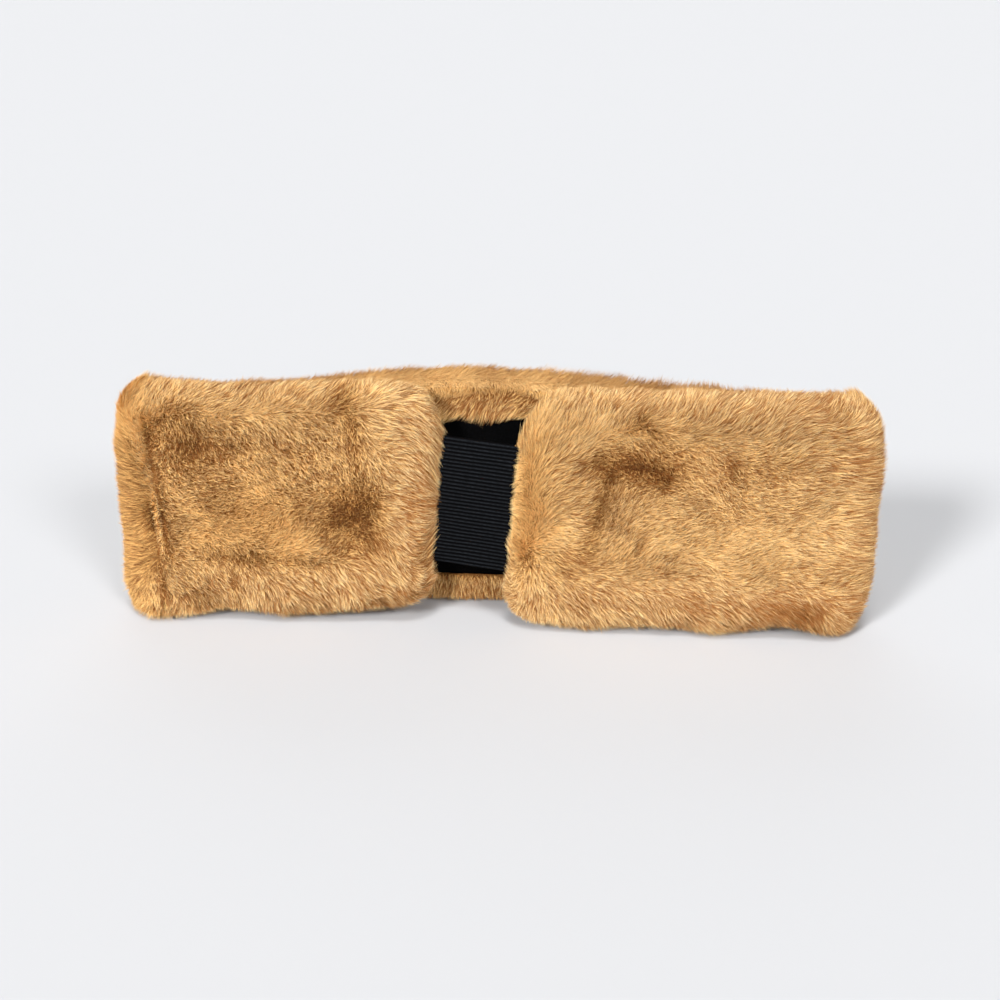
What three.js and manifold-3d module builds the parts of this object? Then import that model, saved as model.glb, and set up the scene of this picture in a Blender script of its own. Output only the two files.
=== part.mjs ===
// A wide faux fur headband, standing on its lower edge as a flattened loop.
// One padded band of fur runs from the elastic round the front of the head and back to the elastic. Its
// long edges are folded over to the inside, a thin lining covers the inside between them, and a ribbed
// elastic joins the two ends at the back of the head.
// Units are millimetres. X runs along the flattened loop, Y from the elastic's side to the front of the
// head, and Z up. The origin is the bottom centre of the whole band's box.
import * as THREE from "three";
import { mergeVertices } from "three/addons/utils/BufferGeometryUtils.js";
import Module from "manifold-3d";

const { clamp, degToRad, lerp, smoothstep } = THREE.MathUtils;

// The band's section. Distances across it are from its backing cloth, outwards or inwards.
const PILE_OUT = 8; // the fur's outer face along the rolled edges
const PILE_FIELD = 6.8; // the same on the flatter field between the edges
const PILE_IN = 5; // the face of the folded-over fur, towards the head
const ROLL = 8; // height over which each long edge rounds off
const FIELD_EDGE = 20; // height above each edge where the field is reached
const FOOT = 3; // half width of the flat that each long edge keeps
const HEM_BOTTOM = 12; // height of the fur folded in along the lower edge
const HEM_TOP = 17; // and along the upper edge
const RECESS = 1.2; // depth of the inside between the hems, where the lining lies
const HEM_STEP = 0.2; // height of the step from a hem's face down to the recess
const HEM_LIP = { height: 1, sunk: 0.2 }; // the hem's rounded lip, and the share of the recess it is sunk

const LINING_THICK = 1.2;
const LINING_START = 12; // from each end of the band to the lining
const RECESS_RUN = 3; // length over which the recess deepens, before the lining starts
const SEAT_GAP = 0.3; // between pieces that touch

// The two ends of the band, at the elastic.
const END_CORNER = { top: 18, bottom: 11 }; // radii of their corners, seen from behind
const END_ROLL = 6; // length over which their thickness rounds off
const END_THICK = 0.35; // share of the thickness that is left at the very end
const END_LEAN = 0.085; // both ends lean to +X by this much for each millimetre of height
const LEAN_REACH = 60; // length of band over which the lean fades out

// The elastic: a flat strip whose ends are tucked into the band's ends.
const ELASTIC_WIDTH = 50;
const ELASTIC_THICK = 1.6;
const ELASTIC_TUCK = 8;
const ELASTIC_MIDDLE = 46.4; // height of its middle
const ELASTIC_TILT = degToRad(3.9); // its right end hangs lower

// The folds' round corners, seen from behind: how far they draw in at the top and bottom, and over what
// height. They start and are complete at these distances from the middle.
const FOLD_START = 108;
const FOLD_TIP = 137;
const FOLD_HEIGHT = 92.5;
const FOLD_TOP = { draw: 10, height: 40 };
const FOLD_BOTTOM = { left: { draw: 3.5, height: 14 }, right: { draw: 7, height: 30 } };

// The band's line in plan, from the left end at the elastic, round the left fold, along the front of the head
// and round the right fold to the right end, with the heights of its lower and upper edges.
const STATIONS = [
  { x: -21.0, y: -5.6, bottom: 5.6, top: 91.5 },
  { x: -34.0, y: -6.4, bottom: 5.0, top: 93.0 },
  { x: -52.0, y: -7.6, bottom: 3.2, top: 93.0 },
  { x: -73.0, y: -8.7, bottom: 1.6, top: 92.0 },
  { x: -95.0, y: -9.0, bottom: 3.2, top: 91.2 },
  { x: -110.0, y: -9.4, bottom: 0.8, top: 92.0 },
  { x: -119.5, y: -10.2, bottom: 0.0, top: 92.6 },
  { x: -126.4, y: -8.8, bottom: 0.0, top: 92.4 },
  { x: -129.1, y: -3.2, bottom: 0.0, top: 90.6 },
  { x: -127.8, y: 2.8, bottom: 0.0, top: 88.4 },
  { x: -122.6, y: 6.3, bottom: 0.0, top: 86.4 },
  { x: -112.0, y: 7.0, bottom: 0.0, top: 85.2 },
  { x: -94.0, y: 7.2, bottom: 0.0, top: 84.8 },
  { x: -66.0, y: 7.5, bottom: 0.0, top: 87.2 },
  { x: -34.0, y: 7.9, bottom: 0.0, top: 91.2 },
  { x: -4.0, y: 8.0, bottom: 0.0, top: 92.6 },
  { x: 24.0, y: 8.0, bottom: 0.0, top: 91.0 },
  { x: 54.0, y: 7.7, bottom: 0.0, top: 88.0 },
  { x: 86.0, y: 7.2, bottom: 0.0, top: 86.2 },
  { x: 110.0, y: 6.8, bottom: 0.0, top: 86.0 },
  { x: 123.4, y: 5.9, bottom: 0.0, top: 87.2 },
  { x: 129.6, y: 1.7, bottom: 0.0, top: 90.0 },
  { x: 130.4, y: -4.4, bottom: 0.0, top: 91.5 },
  { x: 126.4, y: -8.8, bottom: 0.4, top: 92.4 },
  { x: 117.0, y: -9.4, bottom: 2.0, top: 92.8 },
  { x: 102.0, y: -9.2, bottom: 3.6, top: 92.6 },
  { x: 82.0, y: -9.1, bottom: 0.6, top: 92.4 },
  { x: 60.0, y: -9.0, bottom: 2.0, top: 92.6 },
  { x: 38.0, y: -9.1, bottom: 0.4, top: 93.0 },
  { x: 21.0, y: -9.2, bottom: 1.4, top: 92.6 },
  { x: 8.4, y: -9.4, bottom: 3.4, top: 91.4 },
];

// Dents and creases of the fur's outer face on the elastic's side: middle, half widths and depth.
const DENTS = [
  { name: "seam by the left fold", x: -119.8, z: 44, wide: 3.2, tall: 34, depth: 2.6 },
  { name: "upper left patch", x: -100, z: 67, wide: 13, tall: 9, depth: 1.4 },
  { name: "hollow by the left end", x: -49, z: 43, wide: 14, tall: 14, depth: 2.2 },
  { name: "lower left valley", x: -99, z: 24, wide: 12, tall: 5, depth: 1.2 },
  { name: "upper right patch", x: 42, z: 66, wide: 12, tall: 11, depth: 1.8 },
  { name: "valley by the right end", x: 38, z: 50, wide: 5, tall: 24, depth: 1.4 },
  { name: "upper right trough", x: 70, z: 68, wide: 26, tall: 9, depth: 1.0 },
];

// Steps between rings along the band, and heights of the rows of vertices round its edges.
const STEP = { near: 5.6, fold: 3.4, far: 11 };
const END_STOPS = [0, 0.5, 1.6, 3.4, 5.6, 8.6];
const EDGE_ROWS = [0, 0.7, 2.4, 4.8, ROLL];
const FIELD_ROWS = 7;
const LINING_ROWS = 4;

const COLOURS = { fur: 0xc8965f, lining: 0x0c0c0e, elastic: 0x15171c };

const wasm = await Module();
wasm.setup();

const spline = (points) => new THREE.CatmullRomCurve3(points, false, "catmullrom", 0.5);
const plan = spline(STATIONS.map(({ x, y }) => new THREE.Vector3(x, y, 0)));
const heights = spline(STATIONS.map(({ bottom, top }) => new THREE.Vector3(bottom, top, 0)));
plan.arcLengthDivisions = 2000;
const LENGTH = plan.getLength();

// The band's line at a distance along it: the point, the way outwards, and its lower and upper edges.
function lineAt(distance) {
  const inside = clamp(distance, 0, LENGTH);
  const t = plan.getUtoTmapping(inside / LENGTH);
  const along = plan.getTangent(t);
  const point = plan.getPoint(t).addScaledVector(along, distance - inside);
  const edge = heights.getPoint(t);
  return { point, out: new THREE.Vector3(-along.y, along.x, 0), bottom: Math.max(0, edge.x), top: edge.y };
}

// Distance to the nearer end of the band.
const toEnd = (distance) => Math.min(distance, LENGTH - distance);

// A quarter circle's rise from 0 to 1 over a length.
const quarterRound = (distance, length) => Math.sqrt(1 - (1 - clamp(distance / length, 0, 1)) ** 2);

// The heights of the band's lower and upper edges at a distance, with the round corners at its ends.
function edgesAt(distance) {
  const { bottom, top } = lineAt(distance);
  const cut = (radius) => radius * (1 - quarterRound(toEnd(distance), radius));
  return { bottom: bottom + cut(END_CORNER.bottom), top: top - cut(END_CORNER.top) };
}

// How far a fold's corner draws in at a place.
function foldDraw(x, z) {
  const corner = x < 0 ? FOLD_BOTTOM.left : FOLD_BOTTOM.right;
  const top = Math.max(0, 1 - (FOLD_HEIGHT - z) / FOLD_TOP.height);
  const bottom = Math.max(0, 1 - z / corner.height);
  const draw = FOLD_TOP.draw * top ** 3 + corner.draw * bottom ** 2;
  return draw * smoothstep(Math.abs(x), FOLD_START, FOLD_TIP);
}

function dentAt({ x, y }, z) {
  const share = (dent) => Math.exp(-(((x - dent.x) / dent.wide) ** 2) - ((z - dent.z) / dent.tall) ** 4);
  return y < 0 ? DENTS.reduce((sum, dent) => sum + dent.depth * share(dent), 0) : 0;
}

// A point of the band from the distance along its line, the distance outwards and the height.
function place(distance, [outwards, z]) {
  const lean = END_LEAN * smoothstep(LEAN_REACH - toEnd(distance), 0, LEAN_REACH) * (z - ELASTIC_MIDDLE);
  const { point, out } = lineAt(distance - lean);
  const p = point.addScaledVector(out, outwards);
  p.x -= Math.sign(p.x) * foldDraw(p.x, z);
  return p.setZ(z);
}

// The fur band's section at a distance: up its outer face, over the upper edge and down its inner face.
function bandSection(distance) {
  const { point } = lineAt(distance);
  const { bottom, top } = edgesAt(distance);
  const thick = lerp(END_THICK, 1, quarterRound(toEnd(distance), END_ROLL));
  const deepened = smoothstep(toEnd(distance), LINING_START - RECESS_RUN, LINING_START - SEAT_GAP);
  const recess = lerp(PILE_IN, RECESS, deepened);
  const across = (pile, height) => thick * lerp(FOOT, pile, quarterRound(height, ROLL));

  const outerPoint = (z) => {
    const height = Math.min(z - bottom, top - z);
    const pile = lerp(PILE_OUT, PILE_FIELD, smoothstep(height, ROLL, FIELD_EDGE));
    return [across(pile, height) - thick * dentAt(point, z), z];
  };
  const innerPoint = (depth, z) => [-thick * depth, z];
  const fieldStep = (top - bottom - 2 * ROLL) / (FIELD_ROWS + 1);
  const field = Array.from({ length: FIELD_ROWS }, (_, row) => bottom + ROLL + (row + 1) * fieldStep);
  const fromTop = [...EDGE_ROWS].reverse();
  const lip = lerp(PILE_IN, recess, HEM_LIP.sunk);
  return [
    ...EDGE_ROWS.map((height) => outerPoint(bottom + height)),
    ...field.map(outerPoint),
    ...fromTop.map((height) => outerPoint(top - height)),
    ...EDGE_ROWS.map((height) => [-across(PILE_IN, height), top - height]),
    innerPoint(PILE_IN, top - HEM_TOP + HEM_LIP.height),
    innerPoint(lip, top - HEM_TOP),
    innerPoint(recess, top - HEM_TOP - HEM_STEP),
    ...insideRows(bottom, top).reverse().map((z) => innerPoint(recess, z)),
    innerPoint(recess, bottom + HEM_BOTTOM + HEM_STEP),
    innerPoint(lip, bottom + HEM_BOTTOM),
    innerPoint(PILE_IN, bottom + HEM_BOTTOM - HEM_LIP.height),
    ...fromTop.map((height) => [-across(PILE_IN, height), bottom + height]),
  ];
}

// Heights of the lining's rows, between a lower and an upper edge of the band.
function insideRows(bottom, top) {
  const low = bottom + HEM_BOTTOM + HEM_STEP + SEAT_GAP;
  const high = top - HEM_TOP - HEM_STEP - SEAT_GAP;
  return Array.from({ length: LINING_ROWS }, (_, row) => lerp(low, high, row / (LINING_ROWS - 1)));
}

// The lining's section, in the recess between the hems.
function liningSection(distance) {
  const { bottom, top } = edgesAt(distance);
  const face = RECESS + SEAT_GAP;
  const rows = insideRows(bottom, top);
  return [
    ...rows.map((z) => [-face, z]),
    ...rows.reverse().map((z) => [-face - LINING_THICK, z]),
  ];
}

// Distances of the rings between two distances: closer in the folds and beside the elastic than in front.
function ringStops(from, to) {
  const stops = [];
  let at = from;
  while (at < to - STEP.fold / 2) {
    stops.push(at);
    const { x, y } = lineAt(at).point;
    at += Math.abs(x) > FOLD_START ? STEP.fold : y < 0 ? STEP.near : STEP.far;
  }
  return [...stops, to];
}

// A closed body lofted through the sections at the stops, with a flat cap at each end.
function loft(stops, section) {
  const sections = stops.map(section);
  const size = sections[0].length;
  const points = stops.flatMap((distance, k) => sections[k].map((p) => place(distance, p)));
  const index = [];
  for (let ring = 0; ring + 1 < stops.length; ring += 1) {
    for (let k = 0; k < size; k += 1) {
      const a = ring * size + k;
      const b = ring * size + ((k + 1) % size);
      index.push(a, b, b + size, a, b + size, a + size);
    }
  }
  const flat = (outline) => outline.map(([outwards, z]) => new THREE.Vector2(outwards, z));
  const cap = (outline) => THREE.ShapeUtils.triangulateShape(flat(outline), []);
  const last = points.length - size;
  cap(sections[0]).forEach(([a, b, c]) => index.push(c, b, a));
  cap(sections.at(-1)).forEach(([a, b, c]) => index.push(last + a, last + b, last + c));
  const geometry = new THREE.BufferGeometry().setFromPoints(points);
  geometry.setIndex(index);
  return geometry;
}

// The elastic's strip between the two ends, made larger all round by a clearance.
function elasticStrip(clearance) {
  const start = lineAt(0).point;
  const end = lineAt(LENGTH).point;
  const radius = ELASTIC_THICK / 2 + clearance;
  const straight = (ELASTIC_WIDTH - ELASTIC_THICK) / 2;
  const outline = new THREE.Shape();
  outline.absarc(0, straight, radius, 0, Math.PI);
  outline.absarc(0, -straight, radius, Math.PI, 2 * Math.PI);
  const depth = start.distanceTo(end) + 2 * (ELASTIC_TUCK + clearance);
  const strip = new THREE.ExtrudeGeometry(outline, { depth, bevelEnabled: false, curveSegments: 4 });
  strip.translate(0, 0, -depth / 2);
  strip.rotateX(-Math.PI / 2);
  strip.rotateZ(-Math.PI / 2);
  strip.rotateY(ELASTIC_TILT);
  strip.rotateZ(Math.atan2(end.y - start.y, end.x - start.x));
  const middle = start.add(end).multiplyScalar(0.5);
  return strip.translate(middle.x, middle.y, ELASTIC_MIDDLE);
}

// A manifold solid from a closed geometry, and back.
function solidOf(geometry) {
  const bare = geometry.clone();
  bare.deleteAttribute("normal");
  bare.deleteAttribute("uv");
  const merged = mergeVertices(bare, 1e-4);
  const vertProperties = Float32Array.from(merged.attributes.position.array);
  const triVerts = Uint32Array.from(merged.index.array);
  return new wasm.Manifold(new wasm.Mesh({ numProp: 3, vertProperties, triVerts }));
}

function geometryOf(solid) {
  const { vertProperties, triVerts } = solid.getMesh();
  const geometry = new THREE.BufferGeometry();
  geometry.setAttribute("position", new THREE.Float32BufferAttribute(vertProperties, 3));
  geometry.setIndex([...triVerts]);
  return geometry;
}

function piece(name, geometry, color, roughness) {
  geometry.computeVertexNormals();
  const mesh = new THREE.Mesh(geometry, new THREE.MeshStandardMaterial({ color, roughness, metalness: 0 }));
  mesh.name = name;
  return mesh;
}

const liningStops = ringStops(LINING_START + SEAT_GAP, LENGTH - LINING_START - SEAT_GAP);
const bandStops = [
  ...END_STOPS,
  LINING_START,
  ...liningStops,
  LENGTH - LINING_START,
  ...END_STOPS.map((distance) => LENGTH - distance).reverse(),
];
const wholeBand = solidOf(loft(bandStops, bandSection));
const pocketedBand = wholeBand.subtract(solidOf(elasticStrip(SEAT_GAP)));

const headband = new THREE.Group();
headband.add(
  piece("fur_band", geometryOf(pocketedBand), COLOURS.fur, 0.95),
  piece("lining", loft(liningStops, liningSection), COLOURS.lining, 0.9),
  piece("elastic_strap", elasticStrip(0), COLOURS.elastic, 0.7),
);

// Stand the band on z = 0 with its box centred on the origin.
const box = new THREE.Box3().setFromObject(headband);
const centre = box.getCenter(new THREE.Vector3());
headband.position.set(-centre.x, -centre.y, -box.min.z);

export default headband;
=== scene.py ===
"""A wide faux fur headband, standing on its lower edge as a flattened loop.

The frame gives the band's outer form. This script dresses it with a folded backing, a combed pile of
single strands, a black lining and a ribbed elastic, and adds the floor, the lights and the camera.

Tables and working points are in millimetres, and a mesh is made in metres. A place on the band is
(along, round): the distance along the band's line from its left end at the elastic, and the distance
round its section from the edge of the lower hem, down, under, up the outer face, over the top and down
to the edge of the upper hem. Depth goes from 0 at the pile's tips to 1 at its backing.
"""
import math
from types import SimpleNamespace

import bpy
import numpy as np
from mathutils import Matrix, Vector


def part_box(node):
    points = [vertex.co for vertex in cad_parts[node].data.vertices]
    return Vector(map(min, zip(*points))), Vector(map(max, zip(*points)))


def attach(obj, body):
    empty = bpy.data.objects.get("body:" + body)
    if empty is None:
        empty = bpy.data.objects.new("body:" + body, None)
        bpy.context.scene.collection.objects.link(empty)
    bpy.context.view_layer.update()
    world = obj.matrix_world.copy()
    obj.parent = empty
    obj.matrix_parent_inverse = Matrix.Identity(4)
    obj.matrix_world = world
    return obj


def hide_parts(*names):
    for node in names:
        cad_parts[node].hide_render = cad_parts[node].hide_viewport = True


MM = 0.001
rng = np.random.default_rng(11)

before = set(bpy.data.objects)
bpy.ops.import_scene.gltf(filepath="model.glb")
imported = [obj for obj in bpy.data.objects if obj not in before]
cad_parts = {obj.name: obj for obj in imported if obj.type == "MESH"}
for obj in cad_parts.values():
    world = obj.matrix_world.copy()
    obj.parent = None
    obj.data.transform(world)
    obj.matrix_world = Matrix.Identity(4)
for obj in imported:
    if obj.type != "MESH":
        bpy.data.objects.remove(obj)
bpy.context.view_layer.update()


# ---- The band's form, as in the part's source ----

# The band's line in plan, from its left end round to its right one, and its edges' heights:
# (x, y, lower edge, upper edge).
STATIONS = [
    (-21, -5.6, 5.6, 91.5), (-34, -6.4, 5, 93), (-52, -7.6, 3.2, 93), (-73, -8.7, 1.6, 92),
    (-95, -9, 3.2, 91.2), (-110, -9.4, 0.8, 92), (-119.5, -10.2, 0, 92.6), (-126.4, -8.8, 0, 92.4),
    (-129.1, -3.2, 0, 90.6), (-127.8, 2.8, 0, 88.4), (-122.6, 6.3, 0, 86.4), (-112, 7, 0, 85.2),
    (-94, 7.2, 0, 84.8), (-66, 7.5, 0, 87.2), (-34, 7.9, 0, 91.2), (-4, 8, 0, 92.6),
    (24, 8, 0, 91), (54, 7.7, 0, 88), (86, 7.2, 0, 86.2), (110, 6.8, 0, 86),
    (123.4, 5.9, 0, 87.2), (129.6, 1.7, 0, 90), (130.4, -4.4, 0, 91.5), (126.4, -8.8, 0.4, 92.4),
    (117, -9.4, 2, 92.8), (102, -9.2, 3.6, 92.6), (82, -9.1, 0.6, 92.4), (60, -9, 2, 92.6),
    (38, -9.1, 0.4, 93), (21, -9.2, 1.4, 92.6), (8.4, -9.4, 3.4, 91.4),
]

# The section: (share of the height, outwards from the backing, up from there).
SECTION = [
    (0, -5, 12), (0, -5, 8), (0, -4.6, 4), (0, -3, 1),
    (0, 0, 0), (0, 3.6, 0.7), (0, 6.4, 3.2), (0, 7.8, 7.5),
    (0, 8, 12), (0, 7.2, 20), (0.5, 6.8, 0), (1, 7.2, -20),
    (1, 8, -12), (1, 7.8, -7.5), (1, 6.4, -3.2), (1, 3.6, -0.7),
    (1, 0, 0), (1, -3, -1), (1, -4.6, -4), (1, -5, -8),
    (1, -5, -17),
]
USUAL_HEIGHT = 90
FOOT_ROW, HEAD_ROW = 4, 16  # rows at the middle of the lower and the upper edge, counted from 0

# Dents of the outer face on the elastic's side: (x, z, half width, half height, depth).
DENTS = [
    (-119.8, 44, 3.2, 34, 2.6),
    (-100, 67, 13, 9, 1.4),
    (-49, 43, 14, 14, 2.2),
    (-99, 24, 12, 5, 1.2),
    (42, 66, 12, 11, 1.8),
    (38, 50, 5, 24, 1.4),
    (70, 68, 26, 9, 1),
]

# Finer hollows and swellings of the pile there, and changes of its tone and goldness: partly its own tints,
# and partly painted shade in hollows, seams and on the lower rolls, and painted light on some bulges and
# corners:
# (x, z, half width, half height, turn in degrees, rise, change of tone, change of goldness).
RELIEF = [
    (-130, 45, 7, 60, 0, 1.2, 0.08, 1.5), (-129, 81, 10, 12, 0, 0, 0.6, 0.1),
    (-123, 66, 1.1, 14, 7, 1.4, 0.5, -0.8), (-121.9, 40, 1.3, 8, 4, -2.2, -0.9, 0.5),
    (-118.2, 38, 1.3, 10, 4, -2.6, -1.2, 0.5), (-120, 39, 0.9, 13, 4, 2, 1.5, -1.2),
    (-121.6, 72, 1.5, 10, 8, -1.6, -0.5, 0), (-120.4, 58, 1.4, 6, 4, -1.6, -0.6, 0),
    (-119.4, 15, 1.6, 12, 4, -1.6, -0.5, 0), (-107, 66, 8.5, 6.5, 8, -0.9, -0.6, 0.2),
    (-110, 76, 9, 7, 0, -0.4, -0.12, 0.3), (-84, 69, 14, 5, 10, -0.5, -0.1, 0),
    (-92, 67, 4, 3, -40, -0.5, -0.1, 0), (-65, 67, 9, 4, 15, -0.5, -0.15, 0),
    (-95, 25, 8, 2.2, -5, -0.7, -0.22, 0.2), (-84, 25, 6, 2, 10, -0.7, -0.2, 0.2),
    (-66, 23, 14, 2.4, -6, -1, -0.15, 0), (-93, 14, 1.8, 7, 0, -1, -0.25, 0.3),
    (-50, 75, 3, 14, 8, -1.4, -0.2, 0.3), (-53, 88, 6, 4, 20, -0.6, -0.18, 0.3),
    (-47, 46, 8.5, 10, 20, -0.8, -0.5, 0.9), (-56, 41, 7, 5, 35, -0.8, -0.35, 0.5),
    (-43, 33, 8, 8, 0, -0.6, -0.36, 0.5), (-69, 46, 2, 5, 10, -0.6, -0.2, 0.2),
    (-82, 41, 16, 13, 0, 0.3, 0.45, 0), (-85, 42, 30, 18, 0, 0, 0, 0.5),
    (-30, 50, 8, 36, 0, 1, -0.15, -0.3), (-21, 46, 6, 30, 0, 0, -0.34, 0),
    (-62, 13, 40, 7, 0, 0.8, -0.32, -0.35), (-108, 9, 9, 3.5, 0, -0.6, -0.1, 0),
    (24, 52, 10, 30, 0, 1, 0.05, 0.2), (12, 56, 6, 32, 0, 0.4, 0.42, 0.6), (11, 28, 8, 7, 0, 0.4, -0.3, 0),
    (42, 80, 9, 6, 0, 0, 0.2, 0), (24, 42, 8, 9, 0, 0, 0.22, 0), (97, 45, 14, 10, 0, 0, 0.15, 0),
    (28, 83, 14, 9, 0, 0, 0.4, 0.1), (38, 46, 3.2, 17, -9, -0.9, -0.28, 0.5),
    (50, 65, 14, 6.5, 0, -0.6, -0.38, 0.7), (61, 61.5, 8, 4.5, -5, -0.6, -0.4, 0.3),
    (90, 66, 22, 6, -3, -0.5, -0.15, 0), (84, 64, 2.2, 3, 0, -0.8, -0.35, 0),
    (60.5, 57, 1.2, 3, 0, -0.8, -0.3, 0.2), (50, 64, 4, 2, 0, -0.5, -0.25, 0.2),
    (35.5, 66, 4, 4, 30, -0.6, -0.3, 0.3), (85.5, 51, 1.2, 4, 20, -1, -0.35, 0),
    (56, 77, 9, 2.4, -45, -0.6, -0.1, 0.2), (52, 84, 5, 3, 40, -0.4, -0.06, 0.3),
    (75, 12, 50, 7, 0, 0.8, -0.38, -0.4), (113, 10, 13, 7, -3, -0.8, -0.6, 0),
    (80, 2, 5, 2.5, 0, 1.2, 0.6, 0), (53, 35, 1.2, 4.5, -20, -0.8, -0.35, 0.1),
    (66, 32, 3.5, 1, 25, -0.6, -0.3, 0.1), (27, 25, 3, 5, 30, -0.6, -0.2, 0.2),
    (85, 42, 34, 13, 4, 0.3, 0.2, 0), (131, 50, 6, 40, 0, 0, -0.3, 0.35), (-75, 81, 40, 7, 0, 0, 0.22, 0.1),
    (-118, 84, 8, 7, 0, 0, 0.2, 0), (-86, 57, 9, 6, 0, 0, 0.18, 0), (-103, 34, 7, 10, 0, 0, 0.42, 0.1),
    (-123, 25, 5, 12, 0, 0, -0.1, 0.3), (-84, 16, 9, 6, 0, 0, -0.15, 0), (-69, 31, 7, 10, 0, 0, 0.55, 0),
    (-53, 30, 6, 6, 0, 0, -0.15, 0.2), (-34, 27, 8, 8, 0, 0, -0.38, 0.1), (-20, 26, 5, 10, 0, 0, -0.3, 0),
    (17, 58, 7, 26, 0, 0, 0.2, 0.15), (32, 28, 8, 7, 0, 0, -0.2, 0.3), (48, 34, 7, 6, 0, 0, 0.4, 0.2),
    (63, 80, 12, 5, 0, 0, 0.25, 0.1), (66, 42, 10, 7, 0, 0, 0.15, 0), (96, 72, 9, 5, 0, 0, 0.15, 0),
    (100, 40, 10, 9, 0, 0, 0.15, 0), (-37, 44, 5, 7, 0, 0, 0.25, 0.1), (14, 60, 9, 25, 0, 0, 0.15, 0.05),
    (15, 35, 6, 6, 0, 0, 0.25, 0), (80, 36, 30, 6, 0, 0, 0.15, 0), (-52, 51, 5, 4, 0, 0, 0.25, 0),
    (-100, 69, 6, 4, 0, 0, -0.2, 0), (-51, 69, 5, 4, 0, 0, -0.2, 0), (-20, 80, 6, 6, 0, 0, -0.3, 0),
    (13, 79, 6, 5, 0, 0, 0.2, 0), (52, 77, 10, 4, 0, 0, 0.18, 0), (32, 13, 20, 5, 0, 0, -0.18, 0),
    (96, 53, 9, 6, 0, 0, -0.15, 0),
]

CORNER_TOP, CORNER_BOTTOM = 18, 11  # radii at the band's two ends
END_BULGE, END_ROLL = 1.5, 7.5  # how far the pile stands out past each end, and its rounding's length
END_LEAN, LEAN_REACH, LEAN_MIDDLE = 0.085, 60, 46.4  # the slope of the ends, its reach and its middle
FOLD_START, FOLD_TIP, FOLD_HEIGHT = 108, 137, 92.5  # distances from the middle, and the folds' height
# How far the folds draw in above and below, and over which height.
TOP_DRAW, LEFT_DRAW, RIGHT_DRAW = 10, 3.5, 7
TOP_ZONE, LEFT_ZONE, RIGHT_ZONE = 40, 14, 30
OUTER_FACE = (2, 6)  # distances outwards, between which dents and relief fade in
RELIEF_SIDE, RELIEF_LIMIT = (-4, 3), 12  # -y where the relief fades in, and the square of a row's reach
DEPTH_SHARE = 0.72  # how much nearer to the section's middle the backing is than the tips
EDGE_INSET, EDGE_ZONE = 5, 14  # how much further in it is at the edges, and over which height
END_INSET, END_ZONE = 4, 12  # and at the ends, over which length
FLOOR_GAP = 0.15  # nothing reaches nearer to the floor
LINE_STEPS, OUTLINE_STEPS = 200, 50  # points of the curves for each row
TINY = 1e-9  # keeps lengths and weights above zero


def smoothstep(value, low, high):
    """A smooth rise from 0 at low to 1 at high."""
    share = np.clip((value - low) / (high - low), 0, 1)
    return share * share * (3 - 2 * share)


def bell(value, middle, wide):
    """1 at the middle, with a smooth fall to 0 on both sides of it."""
    return np.exp(-(((value - middle) / wide) ** 2))


def quarter_round(distance, length):
    """A quarter circle's rise from 0 to 1 over a length."""
    return np.sqrt(1 - (1 - np.clip(distance / length, 0, 1)) ** 2)


def curve_through(table, steps):
    """A smooth curve through a table's rows, with so many steps between them."""
    points = np.array(table, float)
    knots = np.vstack([2 * points[0] - points[1], points, 2 * points[-1] - points[-2]])
    last = len(points) - 1
    at = np.linspace(0, last, last * steps + 1)
    first = np.clip(np.floor(at).astype(int), 0, last - 1)
    f = (at - first)[:, None]
    a, b, c, d = (knots[first + k] for k in range(4))
    return b + 0.5 * f * (c - a + f * (2 * a - 5 * b + 4 * c - d + f * (3 * (b - c) + d - a)))


def lengths_of(points):
    """The distance along a line of points to each one."""
    return np.concatenate([[0], np.cumsum(np.linalg.norm(np.diff(points, axis=0), axis=1))])


LINE = curve_through(STATIONS, LINE_STEPS)
LINE_ALONG = lengths_of(LINE[:, :2])
LENGTH = LINE_ALONG[-1]
LINE_WAY = np.gradient(LINE[:, :2], LINE_ALONG, axis=0)
LINE_WAY /= np.linalg.norm(LINE_WAY, axis=1)[:, None]

OUTLINE = curve_through(SECTION, OUTLINE_STEPS)
OUTLINE_ROUND = lengths_of(OUTLINE[:, 1:] + OUTLINE[:, :1] * [0, USUAL_HEIGHT])
ROUND = OUTLINE_ROUND[-1]
ROUND_FOOT, ROUND_HEAD = (OUTLINE_ROUND[row * OUTLINE_STEPS] for row in (FOOT_ROW, HEAD_ROW))


def on_line(along, *columns, table=LINE):
    """The band's x and y, or a table's other columns, at a distance along."""
    return [np.interp(along, LINE_ALONG, table[:, k]) for k in columns or (0, 1)]


def to_end(along):
    """Distance to the nearer end of the band."""
    return np.minimum(along, LENGTH - along)


def edges(along):
    """The heights of the lower and upper edges, with the ends' round corners."""
    inside = np.clip(along, 0, LENGTH)
    bottom, top = on_line(inside, 2, 3)
    end = to_end(along) + END_BULGE
    bottom = np.maximum(bottom, 0) + CORNER_BOTTOM * (1 - quarter_round(end, CORNER_BOTTOM))
    return bottom, top - CORNER_TOP * (1 - quarter_round(end, CORNER_TOP))


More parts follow.
